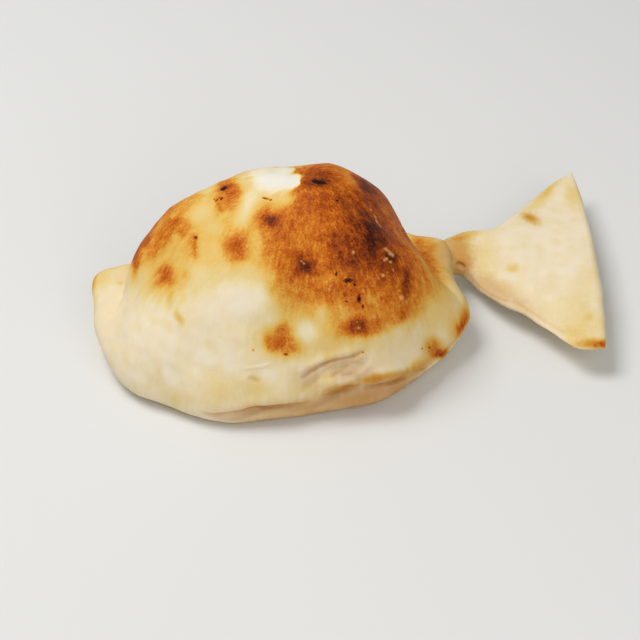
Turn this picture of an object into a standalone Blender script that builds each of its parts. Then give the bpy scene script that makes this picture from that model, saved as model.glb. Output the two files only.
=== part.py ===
"""A baked calzone shaped like a fish: a puffed body with flat ends, and a fan-shaped tail at its neck.

It is one piece of dough. The body is a closed surface of rings carried from the crown of its dome out
to the rim, under the rim past the sealed edge, and in to the flat base. The tail is a second closed
surface, of rings carried from inside the neck out to its straight end, and a Boolean union joins them.
Lengths are in millimetres until the meshes are made. In the drawing x runs towards the tail, y towards
the folded back and z up from the surface that the calzone rests on.
"""
import bpy
import numpy as np

MM = 0.001

# The body: the crown of its dome, and how far the body is turned from the drawing's x, in degrees
CROWN_AT = (-8.0, 0.0)
CROWN_HEIGHT = 73.5
BODY_TURN = 9.0

# The body's outline at its widest level, anticlockwise from the back left corner: x, y and height
BODY_OUTLINE = (
    (-93.0, 8.5, 18.0), (-94.0, -6.0, 16.0), (-88.5, -31.0, 12.0), (-80.5, -44.5, 9.0),
    (-63.5, -55.5, 7.5), (-38.5, -65.3, 7.8), (-22.0, -63.8, 11.0), (-7.0, -61.5, 9.5),
    (8.0, -58.5, 15.0), (23.0, -55.0, 16.0), (41.5, -38.5, 10.2), (57.5, -14.0, 13.0),
    (54.0, 9.0, 14.5), (51.0, 26.5, 20.0), (39.5, 29.5, 20.0), (19.0, 30.5, 27.0),
    (-10.0, 31.0, 31.0), (-43.0, 25.0, 29.0), (-68.0, 13.0, 22.0))

# The dome: its reach from the crown each way, how square its plan is and how round its top
DOME_LEFT, DOME_RIGHT = 73.0, 44.5
DOME_FRONT, DOME_BACK = 64.0, 29.5
DOME_SQUARENESS = 2.6
DOME_ROUNDNESS = 2.3
DOME_FOOT = 16.0

# The flat ends and the front apron that the dome stands on
FLANGE_TOP, APRON_TOP = 24.5, 15.0

# The dome is steep at the back, with a sharp foot, sharper on the left than on the right. Towards the
# front it spreads out into the rim, with a sloping wall and a soft foot: its reach, its foot and its
# steepness each change from one distance in front of the crown to another. What differs between left
# and right blends over a stretch to both sides of the crown
SPREAD_FROM, SPREAD_TO = -8.0, 46.0
SPREAD_LEFT, SPREAD_RIGHT = 94.0, 70.0
STEEP_BACK, STEEP_FRONT = 2.0, 1.15
CREASE_LEFT, CREASE_RIGHT, CREASE_FRONT = 3.5, 15.0, 20.0
SIDES_BLEND = 20.0
CREASE_FROM, CREASE_TO = -6.0, 14.0
STEEP_FROM, STEEP_TO_LEFT, STEEP_TO_RIGHT = -4.0, 10.0, 18.0
RIM_ROUNDING = 9.0

# How far the flat base lies inside the rim
UNDERCUT_FRONT, UNDERCUT_END, UNDERCUT_BACK = 6.0, 12.0, 20.0

# The sealed front edge, by bearing from the crown in degrees: a groove under the upper sheet's rim,
# and below it the lip of the lower sheet, placed and sized by shares of the seam's height
SEAM_FROM, SEAM_TO, SEAM_FADE = -118.0, -6.0, 12.0
SEAM_BELOW_RIM = 2.5
SEAM_DEPTH, SEAM_WIDTH = 2.2, 1.3
LIP_BULGE = 0.6
LIP_AT_SHARE, LIP_TALL_SHARE = 0.45, 0.3

# Crests of the upper sheet's rim: bearing, half width in degrees, and how far each stands out
RIM_CRESTS = ((-58.0, 9.5, 2.4), (-38.0, 7.0, 1.8), (-15.0, 8.0, 1.3))
CREST_ABOVE_RIM, CREST_HEIGHT = 1.0, 3.0

# The leaf-shaped fold above the seam: an upper crease, a puffed pocket under it, a short lower
# crease, and a slanting ridge that closes it on the right
FOLD_DEPTH, FOLD_WIDTH = 1.7, 1.5
FOLD_FROM, FOLD_TO, FOLD_FADE, FOLD_AT = -90.0, -66.0, 5.0, -77.0
FOLD_HEIGHT, FOLD_RISE, FOLD_DROOP = 23.0, 0.1, 0.035
POCKET_AT, POCKET_HALF, POCKET_HEIGHT, POCKET_TALL = -81.0, 5.0, 18.0, 3.0
LOWER_CREASE_AT, LOWER_CREASE_HALF, LOWER_CREASE_HEIGHT = -74.5, 3.5, 19.5
RIDGE_FROM, RIDGE_TO, RIDGE_FADE, RIDGE_HEIGHT, RIDGE_RISE = -77.0, -65.0, 4.0, 15.5, 0.68
POCKET_PROUD, RIDGE_PROUD, LOWER_CREASE_DEEP = 1.1, 0.9, 1.4

# The tail's long edges, from inside the neck out to its corners: x, y and height
TAIL_FRONT = (
    (40.0, 15.0, 10.0), (56.5, 20.3, 9.5), (65.0, 6.0, 10.0), (73.0, -3.8, 11.0),
    (81.0, -11.0, 11.5), (90.0, -22.5, 12.0), (101.0, -35.5, 13.0), (111.6, -35.0, 13.0))
TAIL_BACK = (
    (40.0, 22.0, 13.0), (54.0, 37.5, 13.0), (63.0, 43.0, 13.0), (73.0, 43.3, 14.0),
    (83.0, 52.5, 14.0), (95.0, 66.3, 14.5), (103.0, 75.4, 15.0), (111.7, 83.5, 15.0))

# The tail thins from its neck over a share of its length, its faces are a little pillowed between
# edges of a given flatness, and its outer end bows out and is rounded over the last share of its length
NECK_THICK, TAIL_THICK = 13.0, 6.0
NECK_SHARE, NECK_TAPER = 0.35, 0.7
TAIL_PILLOW, TAIL_FLATNESS = 1.0, 0.8
TAIL_BOW, BOW_FROM_END = 3.0, 4
TAIL_EDGE_SHARE, TAIL_BLUNTNESS = 0.035, 0.003

# Points around the body's rings; rings down the dome, over the shelf to the rim, and from the rim to the
# base; how far out the dome's foot may come, as a share of the way to the rim, so that the shelf's rings
# have room; rings along the tail and in its rounded end, and points around each
AROUND_BODY, DOME_RINGS, SHELF_RINGS, LOW_RINGS = 120, 17, 8, 9
DOME_CROWDING, LOW_CROWDING = 0.9, 1.25
EDGE_LIMIT = 0.93
ALONG_TAIL, END_RINGS, AROUND_TAIL = 28, 5, 24

CRUST_COLOUR = (0.72, 0.47, 0.20, 1.0)
CRUST_ROUGHNESS = 0.6


def clear_scene():
    """Removes what the file holds, so that the script can be run again."""
    for item in list(bpy.data.objects):
        bpy.data.objects.remove(item, do_unlink=True)
    for group in list(bpy.data.collections):
        bpy.data.collections.remove(group)


def hermite(points, slope, knot, i, j, along):
    """Cubic between points i and j, with the slopes given at both."""
    step = (knot[i + 1] - knot[i])[:, None]
    t = (along - knot[i])[:, None] / step
    start = (1 + 2*t) * (1 - t)**2 * points[i] + t * (1 - t)**2 * step * slope[i]
    return start + t*t * (3 - 2*t) * points[j] + t*t * (t - 1) * step * slope[j]


def closed_curve(points, along):
    """Smooth closed curve through the points, read at shares along it from 0 to 1."""
    points = np.array(points)
    gap = np.linalg.norm((np.roll(points, -1, 0) - points)[:, :2], axis=1)
    knot = np.append(0, np.cumsum(np.sqrt(gap))) / np.sqrt(gap).sum()
    after = np.diff(knot)[:, None]
    before = np.roll(after, 1, 0)
    slope_in = (points - np.roll(points, 1, 0)) / before
    slope_out = (np.roll(points, -1, 0) - points) / after
    slope = (slope_in*after + slope_out*before) / (before + after)
    i = np.clip(np.searchsorted(knot, along, side="right") - 1, 0, len(points) - 1)
    return hermite(points, slope, knot, i, (i + 1) % len(points), along)


def open_curve(points, along):
    """Smooth curve from the first point to the last, read at shares along it from 0 to 1."""
    points = np.array(points)
    gap = np.linalg.norm(np.diff(points, axis=0), axis=1)
    knot = np.append(0, np.cumsum(np.sqrt(gap))) / np.sqrt(gap).sum()
    slope = np.gradient(points, knot, axis=0)
    i = np.clip(np.searchsorted(knot, along, side="right") - 1, 0, len(points) - 2)
    return hermite(points, slope, knot, i, i + 1, along)


def soft_max(a, b, corner):
    """The larger of two heights, with the corner between them rounded."""
    h = np.clip(0.5 + 0.5 * (a - b) / corner, 0, 1)
    return b + (a - b)*h + corner*h*(1 - h)


def between(value, low, high, fade):
    """1 between two limits, falling smoothly to 0 outside them."""
    return 1 / (1 + np.exp(4 * (low - value) / fade)) / (1 + np.exp(4 * (value - high) / fade))


def smooth_step(value, low, high):
    """0 below the first limit, 1 above the second, and a smooth rise from one to the other."""
    t = np.clip((value - low) / (high - low), 0, 1)
    return t*t*(3 - 2*t)


def bell(value, middle, half_width):
    """1 at the middle, falling to about a third one half width away."""
    return np.exp(-((value - middle) / half_width)**2)


def leaf_fold(bearing, z):
    """How far the fold in the front wall stands out, or in where it is negative."""
    droop = FOLD_DROOP * np.clip(FOLD_AT - bearing, 0, None)**2
    upper = FOLD_HEIGHT + FOLD_RISE*(bearing - FOLD_AT) - droop
    crease = between(bearing, FOLD_FROM, FOLD_TO, FOLD_FADE) * bell(z, upper, FOLD_WIDTH)
    lower = bell(bearing, LOWER_CREASE_AT, LOWER_CREASE_HALF) * bell(z, LOWER_CREASE_HEIGHT, FOLD_WIDTH)
    pocket = bell(bearing, POCKET_AT, POCKET_HALF) * bell(z, POCKET_HEIGHT, POCKET_TALL)
    slant = RIDGE_HEIGHT + RIDGE_RISE*(bearing - RIDGE_FROM)
    ridge = between(bearing, RIDGE_FROM, RIDGE_TO, RIDGE_FADE) * bell(z, slant, FOLD_WIDTH)
    return POCKET_PROUD*pocket + RIDGE_PROUD*ridge - FOLD_DEPTH*crease - LOWER_CREASE_DEEP*lower


def front_relief(bearing, z, rim):
    """How far the front wall stands out of its smooth form, by bearing and height."""
    seam = rim - SEAM_BELOW_RIM
    sealed = between(bearing, SEAM_FROM, SEAM_TO, SEAM_FADE)
    out = LIP_BULGE * sealed * bell(z, LIP_AT_SHARE*seam, LIP_TALL_SHARE*seam)
    out = out - SEAM_DEPTH * sealed * bell(z, seam, SEAM_WIDTH)
    for at, half, proud in RIM_CRESTS:
        out = out + proud * bell(bearing, at, half) * bell(z, rim + CREST_ABOVE_RIM, CREST_HEIGHT)
    return out + leaf_fold(bearing, z)


def dome_radius(share, along, across):
    """How far out on the dome points are, from 0 at its crown to 1 at its foot."""
    spread = smooth_step(-share*across, SPREAD_FROM, SPREAD_TO)
    half_long = np.where(along < 0, DOME_LEFT, DOME_RIGHT)
    half_long = half_long + spread*(np.where(along < 0, SPREAD_LEFT, SPREAD_RIGHT) - half_long)
    half_deep = np.where(across < 0, DOME_FRONT, DOME_BACK)
    u, v = share*np.abs(along)/half_long, share*np.abs(across)/half_deep
    return (u**DOME_SQUARENESS + v**DOME_SQUARENESS)**(1/DOME_SQUARENESS)


def top_shares(along, across):
    """Where the upper sheet's rings cross each spoke: down the dome to its foot, then on to the rim."""
    edge = np.ones(len(along))
    for _ in range(5):
        edge = edge / dome_radius(edge, along, across)
    edge = np.minimum(edge, EDGE_LIMIT)
    down = np.sin(np.arange(1, DOME_RINGS + 1) / DOME_RINGS * np.pi/2)[:, None]**DOME_CROWDING
    out = (1 - np.cos(np.arange(1, SHELF_RINGS + 1) / SHELF_RINGS * np.pi))[:, None] / 2
    return np.concatenate([down*edge, edge + (1 - edge)*out])


def body_rings():
    """Rings of the body, from the first one round the crown out to the rim and in to the base."""
    outline = closed_curve(BODY_OUTLINE, np.arange(AROUND_BODY) / AROUND_BODY)
    rim = outline[:, 2]
    spoke = outline[:, :2] - CROWN_AT
    reach = np.linalg.norm(spoke, axis=1)
    bearing = np.degrees(np.arctan2(spoke[:, 1], spoke[:, 0]))
    turn = np.radians(BODY_TURN)
    along = spoke[:, 0]*np.cos(turn) + spoke[:, 1]*np.sin(turn)
    across = spoke[:, 1]*np.cos(turn) - spoke[:, 0]*np.sin(turn)

    # how much each spoke points to an end, to the front and to the back: the three add up to 1
    way = np.arctan2(across / np.where(across < 0, DOME_FRONT, DOME_BACK),
                     along / np.where(along < 0, DOME_LEFT, DOME_RIGHT))
    end = np.cos(way)**2
    front = np.where(across < 0, np.sin(way)**2, 0)
    back = 1 - end - front
    foot = rim*(1 - end) + np.minimum(rim, DOME_FOOT)*end
    shelf = APRON_TOP*front + FLANGE_TOP*(1 - front)
    undercut = UNDERCUT_FRONT*front + UNDERCUT_END*end + UNDERCUT_BACK*back

    # the upper sheet: a dome over a shelf, closed at the rim
    share = top_shares(along, across)
    radius = dome_radius(share, along, across)
    ahead = -share*across
    right = smooth_step(along, -SIDES_BLEND, SIDES_BLEND)
    steep_to = STEEP_TO_LEFT + (STEEP_TO_RIGHT - STEEP_TO_LEFT)*right
    steepness = STEEP_BACK + (STEEP_FRONT - STEEP_BACK)*smooth_step(ahead, STEEP_FROM, steep_to)
    corner = CREASE_LEFT + (CREASE_RIGHT - CREASE_LEFT)*right
    corner = corner + (CREASE_FRONT - corner)*smooth_step(ahead, CREASE_FROM, CREASE_TO)
    left = 1 - radius**DOME_ROUNDNESS
    dome = foot + (CROWN_HEIGHT - foot) * np.sign(left) * np.abs(left)**(1/steepness)
    top = rim + (soft_max(dome, shelf, corner) - rim) * np.sqrt(1 - share**RIM_ROUNDING)

    # the lower sheet: straight down past the seam, then in to the base
    fall = 1 - (1 - np.arange(1, LOW_RINGS + 1) / LOW_RINGS)[:, None]**LOW_CROWDING
    low_share = 1 - undercut/reach * (1 - np.sqrt(1 - fall**(2 + front)))

    share = np.concatenate([share, low_share])
    z = np.concatenate([top, rim*(1 - fall)])
    share = share + np.where(share > 0.5, front_relief(bearing, z, rim) / reach, 0)
    return np.dstack([CROWN_AT[0] + share*spoke[:, 0], CROWN_AT[1] + share*spoke[:, 1], z])


def tail_rings():
    """Rings of the tail, from inside the neck out to its end, each a flattened loop from edge to edge."""
    last = TAIL_EDGE_SHARE * np.cos(np.arange(1, END_RINGS + 1) / END_RINGS * np.pi/2)
    along = np.append(np.linspace(0, 1 - TAIL_EDGE_SHARE, ALONG_TAIL), 1 - last)
    front = open_curve(TAIL_FRONT, along)[:, None]
    back = open_curve(TAIL_BACK, along)[:, None]
    thick = NECK_THICK + (TAIL_THICK - NECK_THICK) * np.clip(along / NECK_SHARE, 0, 1)**NECK_TAPER
    closing = 1 - np.clip((1 - along) / TAIL_EDGE_SHARE, 0, 1)
    thick = thick * np.sqrt(np.clip(1 - closing**2, TAIL_BLUNTNESS, 1))

    turn = -np.arange(AROUND_TAIL) / AROUND_TAIL * 2*np.pi
    across = np.sign(np.cos(turn)) * np.abs(np.cos(turn))**TAIL_FLATNESS
    lift = np.sign(np.sin(turn)) * np.abs(np.sin(turn))**TAIL_FLATNESS
    middle = 1 - across**2
    rings = front*(1 - across[:, None])/2 + back*(1 + across[:, None])/2
    rings[..., 2] += (thick[:, None]/2 + TAIL_PILLOW*middle*np.sqrt(1 - closing[:, None])) * lift
    rings[..., 0] += TAIL_BOW * along[:, None]**BOW_FROM_END * middle
    return rings


def ring_faces(count, around):
    """Quads between each ring and the next."""
    i, k = np.meshgrid(np.arange(count - 1), np.arange(around), indexing="ij")
    here, there = i*around + k, i*around + (k + 1) % around
    return np.stack([here, here + around, there + around, there], -1).reshape(-1, 4).tolist()


def body_mesh():
    """The body as one closed mesh, with a point at the crown and one in the middle of the flat base."""
    rings = body_rings()
    count, around = rings.shape[:2]
    points = rings.reshape(-1, 3)
    crown, base = len(points), len(points) + 1
    middle = rings[-1].mean(0)
    points = np.vstack([points, (*CROWN_AT, CROWN_HEIGHT), middle])
    faces = ring_faces(count, around)
    last = (count - 1)*around
    for k in range(around):
        after = (k + 1) % around
        faces.append((crown, k, after))
        faces.append((base, last + after, last + k))
    return points, faces


def tail_mesh():
    """The tail as one closed mesh: its first and last loops are shut by strips from top to bottom."""
    rings = tail_rings()
    count, around = rings.shape[:2]
    faces = ring_faces(count, around)
    last = (count - 1)*around
    for k in range(around // 2):
        low, lower = (around - k) % around, around - k - 1
        faces.append((k, k + 1, lower, low))
        faces.append((last + k, last + low, last + lower, last + k + 1))
    return rings.reshape(-1, 3), [tuple(dict.fromkeys(face)) for face in faces]


def crust_material():
    """Baked bread crust: a dry, golden, slightly glossy skin."""
    material = bpy.data.materials.new("Baked bread crust")
    material.use_nodes = True
    shader = material.node_tree.nodes["Principled BSDF"]
    shader.inputs["Base Color"].default_value = CRUST_COLOUR
    shader.inputs["Roughness"].default_value = CRUST_ROUGHNESS
    shader.inputs["Metallic"].default_value = 0.0
    return material


def add_object(name, points, faces, material, collection):
    """A smooth-shaded mesh object in metres."""
    mesh = bpy.data.meshes.new(name)
    mesh.from_pydata((points*MM).tolist(), [], faces)
    mesh.validate()
    mesh.shade_smooth()
    mesh.materials.append(material)
    made = bpy.data.objects.new(name, mesh)
    collection.objects.link(made)
    return made


def add_collection(name):
    """A collection in the scene."""
    collection = bpy.data.collections.new(name)
    bpy.context.scene.collection.children.link(collection)
    return collection


def main():
    clear_scene()
    model = add_collection("Calzone")
    joined = add_collection("Joined into the calzone")
    crust = crust_material()
    body_points, body_faces = body_mesh()
    tail_points, tail_faces = tail_mesh()

    # the middle of the whole outline comes over the origin, and the base stays on z = 0
    every = np.vstack([body_points, tail_points])
    middle = (every.min(0) + every.max(0)) / 2 * (1, 1, 0)
    calzone = add_object("calzone", body_points - middle, body_faces, crust, model)
    tail = add_object("tail", tail_points - middle, tail_faces, crust, joined)
    tail.hide_render = True
    tail.display_type = "WIRE"
    union = calzone.modifiers.new("Join the tail", "BOOLEAN")
    union.operation = "UNION"
    union.solver = "EXACT"
    union.object = tail


main()
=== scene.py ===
"""Looks of a baked calzone shaped like a fish: its fine crust, how it is toasted, and its floury dough.

The crust is two fine surfaces, the body and the tail. They follow the same formulas and sizes as the
solids, in millimetres, and add what is too fine for those: dents, fine creases, blisters and grain.
Each point of the crust carries how far it is toasted, from 0 for floury white dough to 1 for char, how far
it is darkened towards tan, partly dough dulled to tan and partly painted shade in creases, under the lip
and on the sides turned from the light, its specks of char, its blisters, and its place down the slope,
which the streaks follow. One baked crust material turns those into colour, gloss and bumps.
"""

import bpy
import mathutils
import numpy as np
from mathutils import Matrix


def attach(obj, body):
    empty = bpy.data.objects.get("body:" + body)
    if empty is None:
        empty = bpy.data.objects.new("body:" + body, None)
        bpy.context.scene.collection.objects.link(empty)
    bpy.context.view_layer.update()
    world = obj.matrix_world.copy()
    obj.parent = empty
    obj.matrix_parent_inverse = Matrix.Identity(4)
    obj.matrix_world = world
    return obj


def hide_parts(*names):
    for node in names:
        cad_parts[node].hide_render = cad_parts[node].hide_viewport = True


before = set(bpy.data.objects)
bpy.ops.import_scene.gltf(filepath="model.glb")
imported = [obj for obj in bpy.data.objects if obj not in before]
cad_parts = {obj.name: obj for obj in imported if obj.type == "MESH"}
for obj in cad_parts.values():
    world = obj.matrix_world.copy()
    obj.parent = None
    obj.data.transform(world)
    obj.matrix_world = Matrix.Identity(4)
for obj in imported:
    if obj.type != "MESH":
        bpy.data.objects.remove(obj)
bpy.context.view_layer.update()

MM = 0.001

# The body: the crown of its dome, and how far the body is turned from the drawing's x, in degrees
CROWN_AT = (-8.0, 0.0)
CROWN_HEIGHT = 73.5
BODY_TURN = 9.0

# The body's outline at its widest level, anticlockwise from the back left corner: x, y and height
BODY_OUTLINE = (
    (-93.0, 8.5, 18.0), (-94.0, -6.0, 16.0), (-88.5, -31.0, 12.0), (-80.5, -44.5, 9.0),
    (-63.5, -55.5, 7.5), (-38.5, -65.3, 7.8), (-22.0, -63.8, 11.0), (-7.0, -61.5, 9.5),
    (8.0, -58.5, 15.0), (23.0, -55.0, 16.0), (41.5, -38.5, 10.2), (57.5, -14.0, 13.0),
    (54.0, 9.0, 14.5), (51.0, 26.5, 20.0), (39.5, 29.5, 20.0), (19.0, 30.5, 27.0),
    (-10.0, 31.0, 31.0), (-43.0, 25.0, 29.0), (-68.0, 13.0, 22.0))

# The dome: its reach from the crown each way, how square its plan is and how round its top
DOME_LEFT, DOME_RIGHT = 73.0, 44.5
DOME_FRONT, DOME_BACK = 64.0, 29.5
DOME_SQUARENESS = 2.6
DOME_ROUNDNESS = 2.3
DOME_FOOT = 16.0

# The flat ends and the front apron that the dome stands on
FLANGE_TOP, APRON_TOP = 24.5, 15.0

# The dome is steep at the back, with a sharp foot, sharper on the left than on the right. Towards the
# front it spreads out into the rim, with a sloping wall and a soft foot: its reach, its foot and its
# steepness each change from one distance in front of the crown to another. What differs between left
# and right blends over a stretch to both sides of the crown
SPREAD_FROM, SPREAD_TO = -8.0, 46.0
SPREAD_LEFT, SPREAD_RIGHT = 94.0, 70.0
STEEP_BACK, STEEP_FRONT = 2.0, 1.15
CREASE_LEFT, CREASE_RIGHT, CREASE_FRONT = 3.5, 15.0, 20.0
SIDES_BLEND = 20.0
CREASE_FROM, CREASE_TO = -6.0, 14.0
STEEP_FROM, STEEP_TO_LEFT, STEEP_TO_RIGHT = -4.0, 10.0, 18.0
RIM_ROUNDING = 9.0

# How far the flat base lies inside the rim
UNDERCUT_FRONT, UNDERCUT_END, UNDERCUT_BACK = 6.0, 12.0, 20.0

# The sealed front edge, by bearing from the crown in degrees: a groove under the upper sheet's rim,
# and below it the lip of the lower sheet, placed and sized by shares of the seam's height
SEAM_FROM, SEAM_TO, SEAM_FADE = -118.0, -6.0, 12.0
SEAM_BELOW_RIM = 2.5
SEAM_DEPTH, SEAM_WIDTH = 2.2, 1.3
LIP_BULGE = 0.6
LIP_AT_SHARE, LIP_TALL_SHARE = 0.45, 0.3

# Crests of the upper sheet's rim: bearing, half width in degrees, and how far each stands out
RIM_CRESTS = ((-58.0, 9.5, 2.4), (-38.0, 7.0, 1.8), (-15.0, 8.0, 1.3))
CREST_ABOVE_RIM, CREST_HEIGHT = 1.0, 3.0

# The leaf-shaped fold above the seam: an upper crease, a puffed pocket under it, a short lower
# crease, and a slanting ridge that closes it on the right
FOLD_DEPTH, FOLD_WIDTH = 1.7, 1.5
FOLD_FROM, FOLD_TO, FOLD_FADE, FOLD_AT = -90.0, -66.0, 5.0, -77.0
FOLD_HEIGHT, FOLD_RISE, FOLD_DROOP = 23.0, 0.1, 0.035
POCKET_AT, POCKET_HALF, POCKET_HEIGHT, POCKET_TALL = -81.0, 5.0, 18.0, 3.0
LOWER_CREASE_AT, LOWER_CREASE_HALF, LOWER_CREASE_HEIGHT = -74.5, 3.5, 19.5
RIDGE_FROM, RIDGE_TO, RIDGE_FADE, RIDGE_HEIGHT, RIDGE_RISE = -77.0, -65.0, 4.0, 15.5, 0.68
POCKET_PROUD, RIDGE_PROUD, LOWER_CREASE_DEEP = 1.1, 0.9, 1.4

# The tail's long edges, from inside the neck out to its corners: x, y and height
TAIL_FRONT = (
    (40.0, 15.0, 10.0), (56.5, 20.3, 9.5), (65.0, 6.0, 10.0), (73.0, -3.8, 11.0),
    (81.0, -11.0, 11.5), (90.0, -22.5, 12.0), (101.0, -35.5, 13.0), (111.6, -35.0, 13.0))
TAIL_BACK = (
    (40.0, 22.0, 13.0), (54.0, 37.5, 13.0), (63.0, 43.0, 13.0), (73.0, 43.3, 14.0),
    (83.0, 52.5, 14.0), (95.0, 66.3, 14.5), (103.0, 75.4, 15.0), (111.7, 83.5, 15.0))

# The tail thins from its neck over a share of its length, its faces are a little pillowed between
# edges of a given flatness, and its outer end bows out and is rounded over the last share of its length
NECK_THICK, TAIL_THICK = 13.0, 6.0
NECK_SHARE, NECK_TAPER = 0.35, 0.7
TAIL_PILLOW, TAIL_FLATNESS = 1.0, 0.8
TAIL_BOW, BOW_FROM_END = 3.0, 4
TAIL_EDGE_SHARE, TAIL_BLUNTNESS = 0.035, 0.003

# Points around the body, rings down its dome, over its shelf, down to the base and across the base;
# rings along the tail and in its rounded end, and points around each
AROUND_BODY, DOME_RINGS, SHELF_RINGS, LOW_RINGS, BASE_RINGS = 560, 92, 34, 30, 12
DOME_CROWDING, LOW_CROWDING = 0.9, 1.25
ALONG_TAIL, END_RINGS, AROUND_TAIL = 240, 14, 160

# The dome's foot is found on each spoke in a few passes, and lies no further out than one share of the way
# to the rim. The front wall's relief lies beyond another share of it
FOOT_PASSES, EDGE_LIMIT, RELIEF_FROM = 5, 0.93, 0.5

# The camera, in the drawing's frame: its place in mm, how far it looks down and rolls in degrees, its
# lens and sensor in mm, and the picture's side in pixels
CAMERA_AT = (-1.7, -583.9, 481.9)
CAMERA_DOWN, CAMERA_ROLL = 39.51, -0.78
LENS, SENSOR, PICTURE = 102.46, 36.0, 640

# Soft room light, a large light high at the back left and a weak one in front, both aimed at the calzone's
# middle; places and sizes in mm
LIGHT_AIM = (0, 0, 30)
KEY_AT, KEY_SIZE, KEY_WATTS = (-520, 140, 1100), 600, 9.4
FILL_AT, FILL_SIZE, FILL_WATTS = (300, -900, 600), 900, 4.4
ROOM_COLOUR, ROOM_STRENGTH = "#F5F4F2", 0.40
FLOOR_COLOUR, FLOOR_ROUGHNESS, FLOOR_HALF = "#DDDDDB", 0.8, 6000

# Toasting: the colour at each shade, from 0 for floury white dough to 1 for char, and the shade of dough
# that no stroke has toasted. Where the crust has dulled to tan, and where shade is painted on, its colour
# is multiplied by the tan
TOAST_COLOURS = (
    (0.00, "#E6E2D5"), (0.12, "#EADBBD"), (0.22, "#E2CA8C"), (0.34, "#DFB252"), (0.45, "#D48628"),
    (0.55, "#BF600C"), (0.65, "#9C4407"), (0.75, "#702C04"), (0.87, "#411502"), (1.00, "#1C0600"))
FLOURY = 0.13
# The blisters' colour is their own orange, lightened as a painted highlight
TAN_AND_SHADE, BLISTER_AND_HIGHLIGHT = "#D0A47A", "#EBA562"

# The photograph's pixels to a mm at the calzone, and how sharply a stroke ends at its edge
PIXELS_PER_MM = 2.4
EDGE_POWER = 2.4

# Unevenness, as layers of smooth noise: height, length in mm and seed. Each layer is a number of waves, of
# paces between two shares of its own. Strokes have ragged edges, of which some layers run down the slope
WAVES, WAVE_PACES = 24, (0.6, 1.6)
RAGGED, RAGGED_STREAKS = ((0.07, 14.0, 1),), ((0.05, 5.0, 2), (0.05, 2.4, 3))
FLOUR_CLOUDS = ((0.012, 9.0, 6),)

# The side that the photograph hides: golden mottling that begins at one height and is full at another, with
# its lightest shade and its swing about a middle, and a golden base where it lay on the oven's floor
HIDDEN_MOTTLE, HIDDEN_STREAKS = ((0.22, 30.0, 7), (0.14, 12.0, 8)), ((0.06, 5.0, 9),)
HIDDEN_FROM, HIDDEN_TO = 4.0, 60.0
HIDDEN_LIGHT, HIDDEN_SWING, HIDDEN_MIDDLE = 0.20, 0.30, 0.5
BASE_TOAST, BASE_SWING, BASE_HEIGHT = 0.10, 0.16, 3.0

# Crust counts as seen by how it faces the camera. The dome hides what lies low behind it, in mm: between
# its left and right foot, from one distance behind the crown to another, and below a height
SEEN_FROM, SEEN_TO = -0.3, 0.03
BEHIND_LEFT, BEHIND_RIGHT, BEHIND_FADE = -76.0, 38.0, 8.0
BEHIND_FROM, BEHIND_TO, BEHIND_HEIGHT = 6.0, 14.0, 40.0

# Relief of the crust in mm, as layers of noise: a share of it on the tail, and none of it where the crust
# lies on its base, under one height, with all of it over another. The floury patch is sunk, blisters proud
DENTS = ((0.40, 34.0, 11), (0.12, 12.0, 12), (0.03, 5.0, 13))
TAIL_RELIEF = 0.6
FLAT_UNDER, FULL_OVER = 0.3, 6.0
PATCH_SUNK, BLISTER_PROUD = 0.5, 0.35

# Sizes in mm of the crust's mottling: blotches, streaks drawn out down the dome's slope, and fine grain;
# their weights, how many finer layers each has, and the share by which those fade
BLOTCH, STREAK, GRAIN = 4.0, 1.1, 0.8
BLOTCH_WEIGHT, STREAK_WEIGHT, GRAIN_WEIGHT = 1.2, 1.2, 1.3
BLOTCH_DETAIL, FINE_DETAIL, DETAIL_FADE = 2.0, 3.0, 0.6

# Streaks are drawn out by a bearing whose radius begins at one length in mm and grows by a share of the
# real one, and by a slope squeezed to a share
STREAK_RADIUS, STREAK_SPREAD, STREAK_SQUEEZE = 22.0, 0.42, 0.15

# The mottling swings the shade least on pale dough and most on brown crust, from one shade to another
SWING_FROM, SWING_TO, SWING_LEAST, SWING_MOST = 0.28, 0.60, 0.02, 0.15

# A speck of char has a ragged edge, begins and is full at two levels, and adds to the shade. A blister
# begins and is full at two levels too, and takes on its colour by its cover: its own orange, lightened as
# a painted highlight
SPECK_RAGGED, SPECK_FROM, SPECK_TO, SPECK_SHADE = 0.12, 0.45, 0.95, 0.6
BLISTER_FROM, BLISTER_TO, BLISTER_COVER = 0.4, 0.75, 0.75

# Pale crust is matt and brown crust is glossier, from one shade to another, with a weak shine over both.
# Its grain stands out more from one shade to another: its height in mm and strength, and a blister's
# height against it
MATT_UNDER, GLOSSY_OVER, MATT, GLOSSY = 0.1, 0.7, 0.75, 0.5
SHINE = 0.12
CRISP_FROM, CRISP_TO, CRISP_LEAST = 0.15, 0.5, 0.15
BUMP_HEIGHT, BUMP_STRENGTH, BLISTER_BUMP = 0.4, 0.3, 3.0

# The share of the unrolled sheet that each pole of the body takes
POLE_SHARE = 0.01

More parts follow.
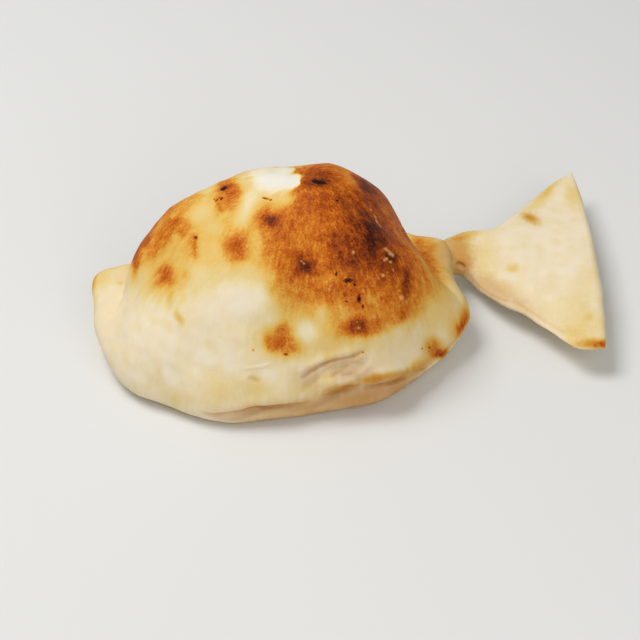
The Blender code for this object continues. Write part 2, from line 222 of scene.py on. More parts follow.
# Toasting as the photograph shows it, laid on in this order by strokes. Each is an ellipse in pixels of the
# 640 by 640 frame: x, y, half width, half height, tilt in degrees anticlockwise, then shade and cover
GOLDEN = (
    # the left side of the dome
    (163, 250, 34, 42, 50, 0.37, 0.95),
    (200, 232, 46, 34, 20, 0.34, 0.9),
    (230, 206, 26, 26, 10, 0.32, 0.8),
    (172, 278, 26, 17, 0, 0.33, 0.85),
    (188, 210, 16, 9, 40, 0.38, 0.7),
    (162, 234, 7, 12, -30, 0.44, 0.6),
    (139, 280, 10, 12, 0, 0.25, 0.7),
    (131, 292, 7, 20, 14, 0.17, 0.8),
    (214, 262, 36, 14, 0, 0.30, 0.7),
    # its middle, and the front wall under it
    (262, 236, 26, 46, 0, 0.37, 0.9),
    (280, 204, 20, 12, 30, 0.33, 0.85),
    (310, 292, 50, 46, -20, 0.38, 0.9),
    (338, 316, 58, 22, 6, 0.33, 0.85),
    (286, 342, 21, 17, 0, 0.33, 0.9),
    (330, 342, 36, 10, -4, 0.26, 0.7),
    (412, 340, 44, 24, 14, 0.17, 0.85),
    (246, 276, 22, 10, 0, 0.22, 0.6),
    (258, 340, 8, 12, 0, 0.24, 0.7),
    (270, 328, 8, 6, 0, 0.34, 0.6))
BROWN = (
    # the dark side of the dome, from its crown to its right foot
    (340, 212, 52, 46, -14, 0.58, 0.95),
    (307, 201, 13, 16, 0, 0.64, 0.85),
    (308, 222, 10, 8, 0, 0.59, 0.6),
    (320, 182, 32, 18, -10, 0.61, 0.9),
    (376, 200, 30, 36, -40, 0.60, 0.9),
    (372, 258, 50, 44, 10, 0.59, 0.95),
    (400, 276, 28, 34, 24, 0.58, 0.9),
    (298, 256, 24, 38, 0, 0.55, 0.9),
    (386, 304, 40, 15, 18, 0.51, 0.8),
    (272, 236, 12, 16, 0, 0.52, 0.85),
    (284, 286, 13, 13, 0, 0.47, 0.7),
    (322, 288, 40, 16, 0, 0.47, 0.7),
    (336, 298, 22, 15, 0, 0.54, 0.85),
    (358, 286, 12, 14, 0, 0.64, 0.7),
    # how it ends towards the shoulder and the front wall
    (420, 266, 13, 28, 14, 0.53, 0.75),
    (350, 318, 18, 11, 0, 0.45, 0.6),
    (416, 290, 22, 13, 24, 0.48, 0.7),
    (434, 284, 14, 28, 24, 0.37, 0.8),
    (440, 300, 10, 14, 20, 0.34, 0.6),
    (443, 315, 16, 15, 10, 0.25, 0.8),
    (374, 318, 22, 9, 12, 0.42, 0.6),
    (380, 329, 10, 5, 10, 0.50, 0.7),
    # two deeper places in it
    (318, 268, 9, 8, 0, 0.62, 0.5),
    (332, 246, 7, 9, 0, 0.63, 0.6))
SCORCHED = (
    # the upper left spot
    (230, 193, 13, 13, 0, 0.57, 0.92),
    (228, 187, 9, 5, 0, 0.66, 0.6),
    (238, 196, 5, 8, 0, 0.60, 0.5),
    (219, 207, 5, 8, -20, 0.48, 0.7),
    (234, 203, 7, 6, 0, 0.46, 0.7),
    # down the left side
    (167, 231, 7, 15, -32, 0.57, 0.85),
    (156, 244, 6, 16, -30, 0.49, 0.8),
    (180, 224, 8, 8, 0, 0.58, 0.85),
    (183, 233, 5, 6, 0, 0.48, 0.7),
    (194, 247, 4.5, 14, 8, 0.47, 0.8),
    (195, 248, 1.4, 7, 4, 0.60, 0.8),
    (219, 206, 1.6, 5, 24, 0.62, 0.8),
    (187, 250, 5, 10, 0, 0.40, 0.6),
    # the lower left spot
    (165, 276, 9, 12, 0, 0.51, 0.92),
    (166, 275, 6, 7, 0, 0.57, 0.75),
    (186, 275, 6, 5, 0, 0.44, 0.7),
    (168, 296, 4, 9, 0, 0.36, 0.7),
    # along the dome's left edge
    (137, 261, 3.4, 17, -8, 0.66, 0.9),
    (144, 240, 4, 16, -26, 0.66, 0.9),
    (155, 221, 4, 15, -42, 0.64, 0.88),
    (172, 205, 5, 13, -52, 0.62, 0.88),
    (192, 197.5, 2.5, 10, -62, 0.50, 0.7),
    (186, 207, 5, 14, -55, 0.44, 0.75),
    # the middle spots
    (237, 248, 13, 18, 0, 0.52, 0.97),
    (238, 246, 10, 13, 0, 0.57, 0.6),
    (213, 264, 8, 7, 0, 0.37, 0.6),
    (270, 221, 15, 10, 0, 0.62, 0.85),
    (272, 220, 7.5, 5.5, 0, 0.80, 0.8),
    (272, 244, 14, 13, 0, 0.54, 0.7),
    (300, 264, 14, 11, 0, 0.68, 0.8),
    (303, 267, 8, 7, 0, 0.82, 0.8),
    (309, 266, 6, 5, 0, 0.76, 0.5),
    # near the crown, and the darkest stretch right of it
    (318, 178, 18, 9, 0, 0.70, 0.8),
    (318, 184, 9, 4, 0, 0.84, 0.8),
    (344, 202, 13, 8, -30, 0.65, 0.7),
    (372, 234, 19, 29, 14, 0.75, 0.9),
    (373, 238, 10, 19, 16, 0.91, 0.92),
    (364, 214, 5, 9, 20, 0.75, 0.6),
    (350, 264, 14, 11, 0, 0.70, 0.75),
    (347, 243, 14, 17, 0, 0.73, 0.78),
    # down the right edge
    (366, 187, 6, 15, 48, 0.82, 0.85),
    (378, 199, 6, 12, 40, 0.69, 0.7),
    (388, 256, 13, 17, 20, 0.68, 0.75),
    (394, 259, 6, 6, 0, 0.82, 0.7),
    (410, 257, 3, 8, 10, 0.68, 0.5),
    (408, 281, 4.5, 12, -6, 0.92, 0.88),
    (406, 292, 3, 6, -10, 0.72, 0.7),
    # the two spots low on the dome
    (272, 293, 9, 7, 0, 0.51, 0.85),
    (272, 329, 7, 5, 0, 0.36, 0.6),
    (283, 338, 13.5, 12, 0, 0.50, 0.92),
    (294, 334, 4, 6, 20, 0.44, 0.7),
    (272, 341, 6, 7, 0, 0.47, 0.7),
    (275, 346, 7, 5, 20, 0.56, 0.7),
    (289, 345, 8, 8, 0, 0.58, 0.7),
    (283, 329, 5, 6, 0, 0.53, 0.7),
    (361, 327, 17, 8, 8, 0.60, 0.87),
    (359, 327, 8, 6, 0, 0.75, 0.75),
    # the right foot and the shoulder
    (403, 315, 5, 6, 0, 0.60, 0.7),
    (397, 322, 5, 3, 20, 0.52, 0.5),
    (392, 313, 6, 4, 20, 0.42, 0.6),
    (392, 294, 20, 12, 10, 0.57, 0.6),
    (397, 222, 8, 22, 32, 0.57, 0.75),
    (416, 247, 6, 13, 50, 0.64, 0.9),
    (424, 260, 9, 18, 34, 0.57, 0.85),
    (418, 274, 9, 14, 20, 0.52, 0.7),
    (426, 283, 5, 9, 20, 0.46, 0.6),
    # and a small one low on the left
    (179, 318, 3, 6, 30, 0.37, 0.9))
PALE = (
    # under the floury patch, and between the left spots
    (284, 201, 9, 5, 20, 0.30, 0.8),
    (253, 194, 12, 7, 35, 0.16, 0.8),
    (277, 197, 15, 5, 0, 0.28, 0.8),
    (247, 206, 6, 15, -14, 0.15, 0.9),
    (240, 221, 7, 8, -20, 0.22, 0.7),
    (200, 278, 12, 12, 0, 0.19, 0.8),
    (200, 303, 12, 9, 0, 0.12, 0.6),
    (260, 293, 7, 9, 0, 0.15, 0.7),
    (222, 272, 14, 9, 0, 0.23, 0.75),
    (247, 272, 9, 11, 0, 0.24, 0.7),
    (216, 252, 8, 8, 0, 0.28, 0.6),
    (247, 183, 8, 5, 20, 0.24, 0.7),
    (102, 372, 20, 12, -30, 0.10, 0.6),
    (200, 212, 13, 8, 20, 0.23, 0.8),
    (214, 228, 9, 7, 0, 0.25, 0.7),
    # lighter places in the brown
    (304, 236, 8, 10, 0, 0.47, 0.5),
    (290, 212, 6, 6, 0, 0.42, 0.6),
    # a painted highlight along the ridge from the crown
    (348, 181, 5, 10, 42, 0.40, 0.85),
    (366, 206, 1.5, 10, 34, 0.55, 0.6),
    # more lighter places in the brown
    (380, 220, 5, 8, 20, 0.66, 0.7),
    (338, 219, 8, 6, 0, 0.58, 0.6),
    (402, 266, 4, 8, 20, 0.60, 0.7),
    (341, 187, 9, 6, -10, 0.55, 0.7),
    (354, 194, 6, 6, 0, 0.60, 0.6),
    (282, 267, 6, 8, 0, 0.47, 0.6),
    (269, 246, 6, 8, 0, 0.46, 0.6),
    (390, 312, 7, 5, 10, 0.43, 0.6),
    (402, 303, 6, 5, 0, 0.50, 0.6),
    # a painted highlight along the ridge down to the shoulder
    (410, 247, 2.2, 14, 38, 0.44, 0.7),
    (427, 271, 2.0, 20, 34, 0.33, 0.6),
    # pale windows below the brown
    (246, 302, 24, 18, 0, 0.07, 0.8),
    (266, 319, 11, 9, 0, 0.16, 0.75),
    (255, 243, 7, 18, 0, 0.31, 0.8),
    (306, 331, 11, 10, -20, 0.12, 0.9),
    (322, 314, 7, 10, 0, 0.22, 0.8),
    (342, 314, 8, 8, 0, 0.30, 0.6),
    (372, 298, 7, 7, 0, 0.38, 0.6),
    # the shoulder's outer edge
    (453, 284, 7, 26, 14, 0.22, 0.65),
    (446, 252, 12, 10, -10, 0.24, 0.8),
    (429, 245, 7, 5, 10, 0.40, 0.6))
LEFT_END = (
    # its flat top, and its browned back corner
    (110, 305, 18, 38, 0, 0.15, 0.8),
    (114, 275, 20, 8, 4, 0.20, 0.7),
    (108, 267, 13, 1.8, 10, 0.36, 0.8),
    (101, 278, 6, 9, -24, 0.27, 0.8),
    (94.5, 281, 1.8, 13, -14, 0.52, 0.85),
    (99.5, 270.5, 3, 2.2, 40, 0.46, 0.7),
    (119.5, 283, 3, 2, 0, 0.30, 0.8),
    (94, 305, 2.5, 18, 0, 0.24, 0.7))
FRONT_EDGE = (
    # golden patches of the front wall
    (160, 374, 4, 10, 6, 0.21, 0.8),
    (177, 398, 8, 6, -20, 0.25, 0.7),
    (220, 392, 7, 9, 0, 0.26, 0.75),
    (212, 377, 8, 9, 0, 0.20, 0.7),
    (163, 388, 8, 8, 0, 0.19, 0.6),
    (312, 388, 16, 5, 8, 0.25, 0.7),
    (236, 381, 12, 10, 0, 0.20, 0.6),
    (244, 395, 62, 15, 0, 0.215, 0.75),
    (330, 405, 84, 7, 9, 0.20, 0.85),
    (328, 377, 10, 7, 20, 0.25, 0.7),
    (257, 387, 8, 9, 0, 0.26, 0.75),
    # the crests of the rim
    (340, 388.5, 18, 3.4, 17, 0.31, 0.85),
    (385, 376.5, 22, 4, 8, 0.34, 0.85),
    (374, 379, 12, 3, 10, 0.41, 0.75),
    (421, 366, 12, 4, 36, 0.34, 0.85),
    # its browned right corners
    (436, 348, 9, 8, 0, 0.40, 0.75),
    (440.5, 354, 6, 3.5, 24, 0.66, 0.85),
    (434, 347, 5, 7, 0, 0.46, 0.6),
    (416, 364, 10, 3, 40, 0.40, 0.6),
    (460, 322, 5, 13, -24, 0.50, 0.9),
    (462, 324, 3, 9, -24, 0.66, 0.85),
    (464, 310, 3, 10, 0, 0.42, 0.7))
TAIL = (
    # the neck
    (463, 237, 11, 3.2, 14, 0.46, 0.85),
    (464, 250, 9, 18, -10, 0.32, 0.85),
    (484, 256, 14, 20, 0, 0.22, 0.8),
    (500, 288, 20, 9, -30, 0.22, 0.75),
    # the fan, its spots and its back edge
    (540, 310, 30, 20, -30, 0.18, 0.6),
    (530.5, 218.5, 8, 3.6, -22, 0.36, 0.95),
    (529, 217, 4, 2, -22, 0.50, 0.8),
    (513, 268, 6, 3.6, 5, 0.29, 0.9),
    (540, 200, 22, 6, 45, 0.24, 0.8),
    (548, 190, 10, 3, 45, 0.34, 0.8),
    (574, 196, 9, 12, 0, 0.26, 0.8),
    # its front corner and outer edge
    (586, 322, 24, 16, -20, 0.225, 0.8),
    (588, 317, 4, 3, 0, 0.34, 0.8),
    (580, 300, 14, 20, -20, 0.21, 0.7),
    (576, 333, 12, 6, -10, 0.28, 0.8),
    (594, 270, 8, 24, 0, 0.20, 0.6),
    (594, 342.5, 18, 4.6, 0, 0.38, 0.9),
    (602, 344, 7, 3.5, 10, 0.60, 0.8))

# Where the crust has dulled to tan, and painted shade: on the lower front and right side turned from the
# light, on the left end's flat top, under the lip, in the fold, in the slit at the neck and along the
# tail's shaded front edge; laid like the strokes above
TANNED_AND_SHADED = (
    (404, 340, 66, 24, 14, 0.12, 0.9),
    (446, 292, 26, 50, 10, 0.08, 0.85),
    (434, 246, 24, 10, -10, 0.50, 0.85),
    (345, 400, 84, 8, 9, 0.54, 0.9),
    (408, 387, 24, 8, 28, 0.62, 0.85),
    (374, 392, 50, 8, 14, 0.95, 0.85),
    (354, 370, 20, 11, 0, 0.62, 0.85),
    (282, 412, 30, 4, -2, 0.55, 0.8),
    (450, 298, 12, 14, 0, 0.0, 0.7),
    (270, 408, 40, 5, 3, 0.30, 0.8),
    (308, 376, 11, 10, 0, 0.56, 0.8),
    (340, 388, 19, 4, 17, 0.8, 0.85),
    (385, 377, 24, 4.5, 8, 0.8, 0.9),
    (423, 366, 12, 4, 35, 0.75, 0.9),
    (456, 251, 13, 16, 0, 0.68, 0.9),
    (493, 288, 40, 8, -31, 0.55, 0.85),
    (465, 265, 9, 8, -40, 0.9, 0.9),
    (108, 305, 16, 40, 0, 0.05, 0.85),
    (437, 350, 9, 8, 0, 0.5, 0.8),
    (530.5, 218.5, 9, 4.5, -22, 0.5, 0.9),
    (596, 344, 16, 4, 0, 0.6, 0.9))

# The floury patch near the crown: its outline in pixels, its shade and how ragged it is. Its edge is faded
# on the left and torn on the right, each over so many pixels, and changes between two places across
PATCH = (
    (254, 173), (270, 167), (286, 162), (295, 166), (291, 172.5), (297, 172.5), (302.5, 175.5),
    (299.5, 180), (300.5, 184.5), (295, 187.5), (291, 190), (284, 191), (273, 190), (262, 188), (254, 183))
PATCH_SHADE, PATCH_RAGGED = 0.0, 3.0
PATCH_TORN_FROM, PATCH_TORN_TO, PATCH_TORN, PATCH_FADED = 284, 298, 1.5, 8.0

# Small specks of char and small blisters: x, y, half width, half height in pixels, tilt in degrees. Each
# falls to nothing at a distance of so many of its own radii
SPOT_REACH = 2.5
SPECKS = (
    (318, 183.8, 7, 1.8, -8), (348.4, 280.5, 5, 2.2, 0), (355.4, 285.6, 1.4, 1.4, 0),
    (359, 299, 2, 3.4, 0), (363, 306.7, 1.2, 2.2, 0), (346.5, 302, 1.2, 1.2, 0), (336.3, 274, 1.3, 2, 0),
    (223.3, 187.6, 3, 1.8, 20), (221, 198, 1.7, 1.9, 0), (215, 200, 1.5, 2, 0),
    (195.3, 237.8, 1.9, 1.9, 0), (170.6, 234, 1.3, 1.3, 0),
    (285.3, 354.5, 2.6, 1.2, 0), (423.2, 348.7, 1.1, 1.1, 0), (431.3, 348, 1.1, 1.1, 0),
    (362.9, 352.5, 1, 1, 0), (253, 350.3, 1.4, 1.2, 0), (266, 196.6, 4, 1.1, -10),
    (270, 198, 2.2, 0.9, -40), (337, 201, 1.4, 1.1, 0))
BLISTERS = (
    (385.6, 249.5, 2, 1.6, 0), (390, 253, 2, 2, 0), (393, 255, 1.5, 2, 0), (386.5, 259, 1.8, 1.6, 0),
    (384, 260, 1.3, 1.6, 0), (391, 262, 1.4, 1.4, 0), (382.9, 275.4, 1.8, 1.6, 0),
    (377, 275.6, 1.2, 1.2, 0), (401.4, 297.8, 2.2, 2.4, 0), (326.7, 283, 1.2, 1.2, 0),
    (329.3, 290, 1.2, 2.2, 0), (352.9, 253, 1.2, 2, 0),
    (301, 260.8, 1.2, 1.2, 0), (363.7, 291.4, 1.5, 1.5, 0), (375.2, 316.9, 1.1, 1.6, 0),
    (304, 263.5, 1, 1, 0), (299, 266, 1, 1, 0), (332, 281, 1, 1.2, 0), (330.5, 286, 1, 1, 0),
    (373, 286, 1.2, 1, 0), (379, 279.5, 1, 1, 0), (369, 296, 1, 1.2, 0), (387, 272, 1, 1, 0),
    (371.5, 209, 1, 1.6, 30), (376, 216, 1, 1.8, 30), (381, 226, 1, 1.4, 30), (357, 322, 1, 1, 0),
    (358.5, 328, 1.4, 1.2, 0), (377.5, 221, 1.1, 2, 30), (393.5, 270, 1.2, 1.2, 0))

# Creases and ridges as the photograph shows them: the line in pixels, its half width and how far it
# stands out in mm, and how much painted shade darkens it towards tan. They taper off towards both ends.
# The painted shade is a share in the crease itself, with the rest in a wider halo round it
CREASES = (
    (((200, 412), (214, 415.6), (230, 415), (242, 413), (256, 408.5), (277, 406), (301, 404.5), (312, 401)),
     0.55, -1.1, 1.0),
    (((318, 399), (335, 392.5), (347, 387.5), (362, 384.5)), 0.8, -0.7, 1.0),
    (((362, 387), (380, 384), (393, 382), (408, 376)), 0.8, -1.1, 1.0),
    (((440, 357), (454, 341), (461, 328)), 0.7, 0.2, 0.4),
    (((301, 379), (309, 371.5), (320, 365.5), (332, 361.5), (347, 358.5), (356, 355), (366, 350)),
     0.9, -1.4, 0.7),
    (((298, 374), (308, 366.5), (320, 360), (340, 354), (358, 349)), 1.6, 0.7, 0.0),
    (((306, 380), (316, 374), (328, 371), (338, 371)), 2.2, 0.7, 0.0),
    (((330, 377), (337, 373), (343, 369.5)), 0.9, -0.9, 0.5),
    (((338, 381), (350, 368), (366, 351)), 1.6, 0.7, 0.0),
    (((243, 369), (258, 367.5), (272, 364)), 0.6, 0.4, 0.0),
    (((248, 377.5), (254, 380), (261, 383)), 1.0, -0.6, 0.3),
    (((343, 176), (350, 183), (357, 191), (363, 200)), 1.8, 0.5, 0.0),
    (((403, 237), (413, 249.5), (420, 261), (429, 274), (439, 289)), 1.6, 0.8, 0.0),
    # a painted shadow along the bottom edge, where the crust meets the floor, with no relief
    (((214, 421), (262, 422), (300, 418), (350, 410), (385, 401), (410, 388), (432, 370)), 1.5, 0.0, 0.8),
    (((456, 262), (460, 264.5), (465, 268)), 0.9, -2.0, 1.0),
    (((464, 269), (478, 286.5), (490, 295), (505, 301.5), (517, 302.5), (532, 312.5), (549, 323),
      (568, 335)), 0.5, -0.4, 0.3))
CREASE_SHADE_CORE, CREASE_SHADE_HALO = 0.75, 2.8


def hermite(points, slope, knot, i, j, along):
    """Cubic between points i and j, with the slopes given at both."""
    step = (knot[i + 1] - knot[i])[:, None]
    t = (along - knot[i])[:, None] / step
    start = (1 + 2*t) * (1 - t)**2 * points[i] + t * (1 - t)**2 * step * slope[i]
    return start + t*t * (3 - 2*t) * points[j] + t*t * (t - 1) * step * slope[j]


def closed_curve(points, along):
    """Smooth closed curve through the points, read at shares along it from 0 to 1."""
    points = np.array(points)
    gap = np.linalg.norm((np.roll(points, -1, 0) - points)[:, :2], axis=1)
    knot = np.append(0, np.cumsum(np.sqrt(gap))) / np.sqrt(gap).sum()
    after = np.diff(knot)[:, None]
    before = np.roll(after, 1, 0)
    slope_in = (points - np.roll(points, 1, 0)) / before
    slope_out = (np.roll(points, -1, 0) - points) / after
    slope = (slope_in*after + slope_out*before) / (before + after)
    i = np.clip(np.searchsorted(knot, along, side="right") - 1, 0, len(points) - 1)
    return hermite(points, slope, knot, i, (i + 1) % len(points), along)


def open_curve(points, along):
    """Smooth curve from the first point to the last, read at shares along it from 0 to 1."""
    points = np.array(points)
    gap = np.linalg.norm(np.diff(points, axis=0), axis=1)
    knot = np.append(0, np.cumsum(np.sqrt(gap))) / np.sqrt(gap).sum()
    slope = np.gradient(points, knot, axis=0)
    i = np.clip(np.searchsorted(knot, along, side="right") - 1, 0, len(points) - 2)
    return hermite(points, slope, knot, i, i + 1, along)


def soft_max(a, b, corner):
    """The larger of two heights, with the corner between them rounded."""
    h = np.clip(0.5 + 0.5 * (a - b) / corner, 0, 1)
    return b + (a - b)*h + corner*h*(1 - h)


def between(value, low, high, fade):
    """1 between two limits, falling smoothly to 0 outside them."""
    return 1 / (1 + np.exp(4 * (low - value) / fade)) / (1 + np.exp(4 * (value - high) / fade))


def smooth_step(value, low, high):
    """0 below the first limit, 1 above the second, and a smooth rise from one to the other."""
    t = np.clip((value - low) / (high - low), 0, 1)
    return t*t*(3 - 2*t)


def bell(value, middle, half_width):
    """1 at the middle, falling to about a third one half width away."""
    return np.exp(-((value - middle) / half_width)**2)


def leaf_fold(bearing, z):
    """How far the fold in the front wall stands out, or in where it is negative."""
    droop = FOLD_DROOP * np.clip(FOLD_AT - bearing, 0, None)**2
    upper = FOLD_HEIGHT + FOLD_RISE*(bearing - FOLD_AT) - droop
    crease = between(bearing, FOLD_FROM, FOLD_TO, FOLD_FADE) * bell(z, upper, FOLD_WIDTH)
    lower = bell(bearing, LOWER_CREASE_AT, LOWER_CREASE_HALF) * bell(z, LOWER_CREASE_HEIGHT, FOLD_WIDTH)
    pocket = bell(bearing, POCKET_AT, POCKET_HALF) * bell(z, POCKET_HEIGHT, POCKET_TALL)
    slant = RIDGE_HEIGHT + RIDGE_RISE*(bearing - RIDGE_FROM)
    ridge = between(bearing, RIDGE_FROM, RIDGE_TO, RIDGE_FADE) * bell(z, slant, FOLD_WIDTH)
    return POCKET_PROUD*pocket + RIDGE_PROUD*ridge - FOLD_DEPTH*crease - LOWER_CREASE_DEEP*lower


def front_relief(bearing, z, rim):
    """How far the front wall stands out of its smooth form, by bearing and height."""
    seam = rim - SEAM_BELOW_RIM
    sealed = between(bearing, SEAM_FROM, SEAM_TO, SEAM_FADE)
    out = LIP_BULGE * sealed * bell(z, LIP_AT_SHARE*seam, LIP_TALL_SHARE*seam)
    out = out - SEAM_DEPTH * sealed * bell(z, seam, SEAM_WIDTH)
    for at, half, proud in RIM_CRESTS:
        out = out + proud * bell(bearing, at, half) * bell(z, rim + CREST_ABOVE_RIM, CREST_HEIGHT)
    return out + leaf_fold(bearing, z)


def dome_radius(share, along, across):
    """How far out on the dome points are, from 0 at its crown to 1 at its foot."""
    spread = smooth_step(-share*across, SPREAD_FROM, SPREAD_TO)
    half_long = np.where(along < 0, DOME_LEFT, DOME_RIGHT)
    half_long = half_long + spread*(np.where(along < 0, SPREAD_LEFT, SPREAD_RIGHT) - half_long)
    half_deep = np.where(across < 0, DOME_FRONT, DOME_BACK)
    u, v = share*np.abs(along)/half_long, share*np.abs(across)/half_deep
    return (u**DOME_SQUARENESS + v**DOME_SQUARENESS)**(1/DOME_SQUARENESS)


def top_shares(along, across):
    """Where the upper sheet's rings cross each spoke: down the dome to its foot, then on to the rim."""
    edge = np.ones(len(along))
    for _ in range(FOOT_PASSES):
        edge = edge / dome_radius(edge, along, across)
    edge = np.minimum(edge, EDGE_LIMIT)
    down = np.sin(np.arange(1, DOME_RINGS + 1) / DOME_RINGS * np.pi/2)[:, None]**DOME_CROWDING
    out = (1 - np.cos(np.arange(1, SHELF_RINGS + 1) / SHELF_RINGS * np.pi))[:, None] / 2
    return np.concatenate([down*edge, edge + (1 - edge)*out])


def body_rings():
    """Rings of the body, from the first one round the crown out to the rim and in to the base."""
    outline = closed_curve(BODY_OUTLINE, np.arange(AROUND_BODY) / AROUND_BODY)
    rim = outline[:, 2]
    spoke = outline[:, :2] - CROWN_AT
    reach = np.linalg.norm(spoke, axis=1)
    bearing = np.degrees(np.arctan2(spoke[:, 1], spoke[:, 0]))
    turn = np.radians(BODY_TURN)
    along = spoke[:, 0]*np.cos(turn) + spoke[:, 1]*np.sin(turn)
    across = spoke[:, 1]*np.cos(turn) - spoke[:, 0]*np.sin(turn)

    # how much each spoke points to an end, to the front and to the back: the three add up to 1
    way = np.arctan2(across / np.where(across < 0, DOME_FRONT, DOME_BACK),
                     along / np.where(along < 0, DOME_LEFT, DOME_RIGHT))
    end = np.cos(way)**2
    front = np.where(across < 0, np.sin(way)**2, 0)
    back = 1 - end - front
    foot = rim*(1 - end) + np.minimum(rim, DOME_FOOT)*end
    shelf = APRON_TOP*front + FLANGE_TOP*(1 - front)
    undercut = UNDERCUT_FRONT*front + UNDERCUT_END*end + UNDERCUT_BACK*back

    # the upper sheet: a dome over a shelf, closed at the rim
    share = top_shares(along, across)
    radius = dome_radius(share, along, across)
    ahead = -share*across
    right = smooth_step(along, -SIDES_BLEND, SIDES_BLEND)
    steep_to = STEEP_TO_LEFT + (STEEP_TO_RIGHT - STEEP_TO_LEFT)*right
    steepness = STEEP_BACK + (STEEP_FRONT - STEEP_BACK)*smooth_step(ahead, STEEP_FROM, steep_to)
    corner = CREASE_LEFT + (CREASE_RIGHT - CREASE_LEFT)*right
    corner = corner + (CREASE_FRONT - corner)*smooth_step(ahead, CREASE_FROM, CREASE_TO)
    left = 1 - radius**DOME_ROUNDNESS
    dome = foot + (CROWN_HEIGHT - foot) * np.sign(left) * np.abs(left)**(1/steepness)
    top = rim + (soft_max(dome, shelf, corner) - rim) * np.sqrt(1 - share**RIM_ROUNDING)

    # the lower sheet: straight down past the seam, then in to the base
    fall = 1 - (1 - np.arange(1, LOW_RINGS + 1) / LOW_RINGS)[:, None]**LOW_CROWDING
    low_share = 1 - undercut/reach * (1 - np.sqrt(1 - fall**(2 + front)))

    share = np.concatenate([share, low_share])
    z = np.concatenate([top, rim*(1 - fall)])
    share = share + np.where(share > RELIEF_FROM, front_relief(bearing, z, rim) / reach, 0)
    return np.dstack([CROWN_AT[0] + share*spoke[:, 0], CROWN_AT[1] + share*spoke[:, 1], z])


def tail_rings():
    """Rings of the tail, from inside the neck out to its end, each a flattened loop from edge to edge."""
    last = TAIL_EDGE_SHARE * np.cos(np.arange(1, END_RINGS + 1) / END_RINGS * np.pi/2)
    along = np.append(np.linspace(0, 1 - TAIL_EDGE_SHARE, ALONG_TAIL), 1 - last)
    front = open_curve(TAIL_FRONT, along)[:, None]
    back = open_curve(TAIL_BACK, along)[:, None]
    thick = NECK_THICK + (TAIL_THICK - NECK_THICK) * np.clip(along / NECK_SHARE, 0, 1)**NECK_TAPER
    closing = 1 - np.clip((1 - along) / TAIL_EDGE_SHARE, 0, 1)
    thick = thick * np.sqrt(np.clip(1 - closing**2, TAIL_BLUNTNESS, 1))

    turn = -np.arange(AROUND_TAIL) / AROUND_TAIL * 2*np.pi
    across = np.sign(np.cos(turn)) * np.abs(np.cos(turn))**TAIL_FLATNESS
    lift = np.sign(np.sin(turn)) * np.abs(np.sin(turn))**TAIL_FLATNESS
    middle = 1 - across**2
    rings = front*(1 - across[:, None])/2 + back*(1 + across[:, None])/2
    rings[..., 2] += (thick[:, None]/2 + TAIL_PILLOW*middle*np.sqrt(1 - closing[:, None])) * lift
    rings[..., 0] += TAIL_BOW * along[:, None]**BOW_FROM_END * middle
    return rings


def camera_axes():
    """The directions right, up and ahead of the camera, from how far it looks down and rolls."""
    down, roll = np.radians(CAMERA_DOWN), np.radians(CAMERA_ROLL)
    ahead = np.array([0, np.cos(down), -np.sin(down)])
    level, raised = np.array([1.0, 0, 0]), np.array([0, np.sin(down), np.cos(down)])
    right = level*np.cos(roll) + raised*np.sin(roll)
    return right, raised*np.cos(roll) - level*np.sin(roll), ahead


def in_picture(points):
    """Where points lie in the photograph's frame, in pixels: their offset from the camera's axis to the
    right and down, over their distance ahead."""
    right, up, ahead = camera_axes()
    away = points - CAMERA_AT
    reach = LENS/SENSOR*PICTURE / (away @ ahead)
    return PICTURE/2 + away @ right * reach, PICTURE/2 - away @ up * reach


def waves(points, length, seed):
    """Smooth noise about 0 with hills some lengths apart: a sum of sine waves in random directions."""
    draw = np.random.default_rng(seed)
    way = draw.normal(size=(WAVES, 3))
    way /= np.linalg.norm(way, axis=1)[:, None]
    pace = 2*np.pi/length * draw.uniform(*WAVE_PACES, WAVES)
    phase = draw.uniform(0, 2*np.pi, WAVES)
    total = np.zeros(points.shape[:-1])
    for direction, start in zip(way * pace[:, None], phase):
        total += np.cos(points @ direction + start)
    return total * np.sqrt(2/WAVES)


def layered(points, layers):
    """Layers of smooth noise added up."""
    return sum(height*waves(points, length, seed) for height, length, seed in layers)


def outward(points):
    """Unit normals of a grid of rings, from the differences along and around it."""
    along = np.gradient(points, axis=0)
    around = np.roll(points, -1, 1) - np.roll(points, 1, 1)
    normal = np.cross(along, around)
    length = np.linalg.norm(normal, axis=2, keepdims=True)
    return normal / np.maximum(length, 1e-9)


def stroke_distance(place, at_x, at_y, wide, tall, tilt):
    """How far each point lies from a stroke's middle, as a share of the ellipse's radius that way."""
    turn = np.radians(tilt)
    along = (place[0] - at_x)*np.cos(turn) - (place[1] - at_y)*np.sin(turn)
    across = (place[0] - at_x)*np.sin(turn) + (place[1] - at_y)*np.cos(turn)
    return np.hypot(along/wide, across/tall)


def lay(shade, place, strokes, ragged):
    """Lays strokes on the crust in turn. Each pulls the shade towards its own by its cover, which falls
    to half at the edge of its ellipse, drawn out there by a ragged noise."""
    for *ellipse, level, cover in strokes:
        far = np.clip(stroke_distance(place, *ellipse) + ragged, 0, None)
        shade = shade + (level - shade) * cover * 0.5**(far**EDGE_POWER)
    return shade


def spotted(place, spots, seen):
    """1 at the middle of each small spot, falling evenly to 0 at so many of its own radii."""
    level = np.zeros(seen.shape)
    for spot in spots:
        level = np.maximum(level, 1 - stroke_distance(place, *spot)/SPOT_REACH)
    return level * seen


